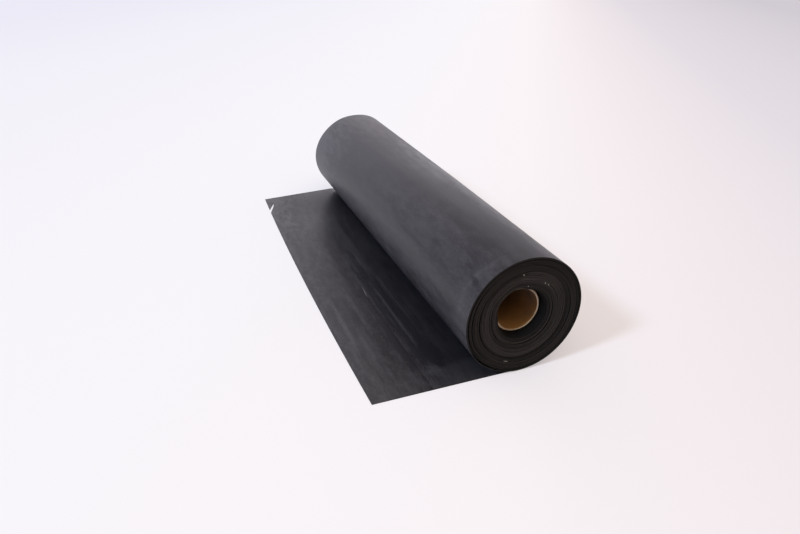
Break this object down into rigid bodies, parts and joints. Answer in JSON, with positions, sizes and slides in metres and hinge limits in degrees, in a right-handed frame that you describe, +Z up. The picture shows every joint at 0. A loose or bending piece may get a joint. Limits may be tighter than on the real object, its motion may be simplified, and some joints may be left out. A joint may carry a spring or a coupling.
{
  "type": "roll of rubber membrane",
  "caption": "Roll of black rubber sealing membrane wound on a cardboard core, lying on its side with a loose tail of sheet flat on the floor.",
  "frame": {"origin": "on the floor, below the middle of the whole object", "axes": "+Y along the roll's axis towards its far end, -X the way the loose tail lies, +Z up"},
  "size_m": [0.3708, 0.909, 0.213],
  "materials": {
    "membrane": "matte black rubber with a dusty grey bloom",
    "core": "plain brown spiral-wound board with a paler cut rim"
  },
  "bodies": {
    "root": {"membrane_roll": "membrane", "core_tube": "core"}
  },
  "joints": []
}
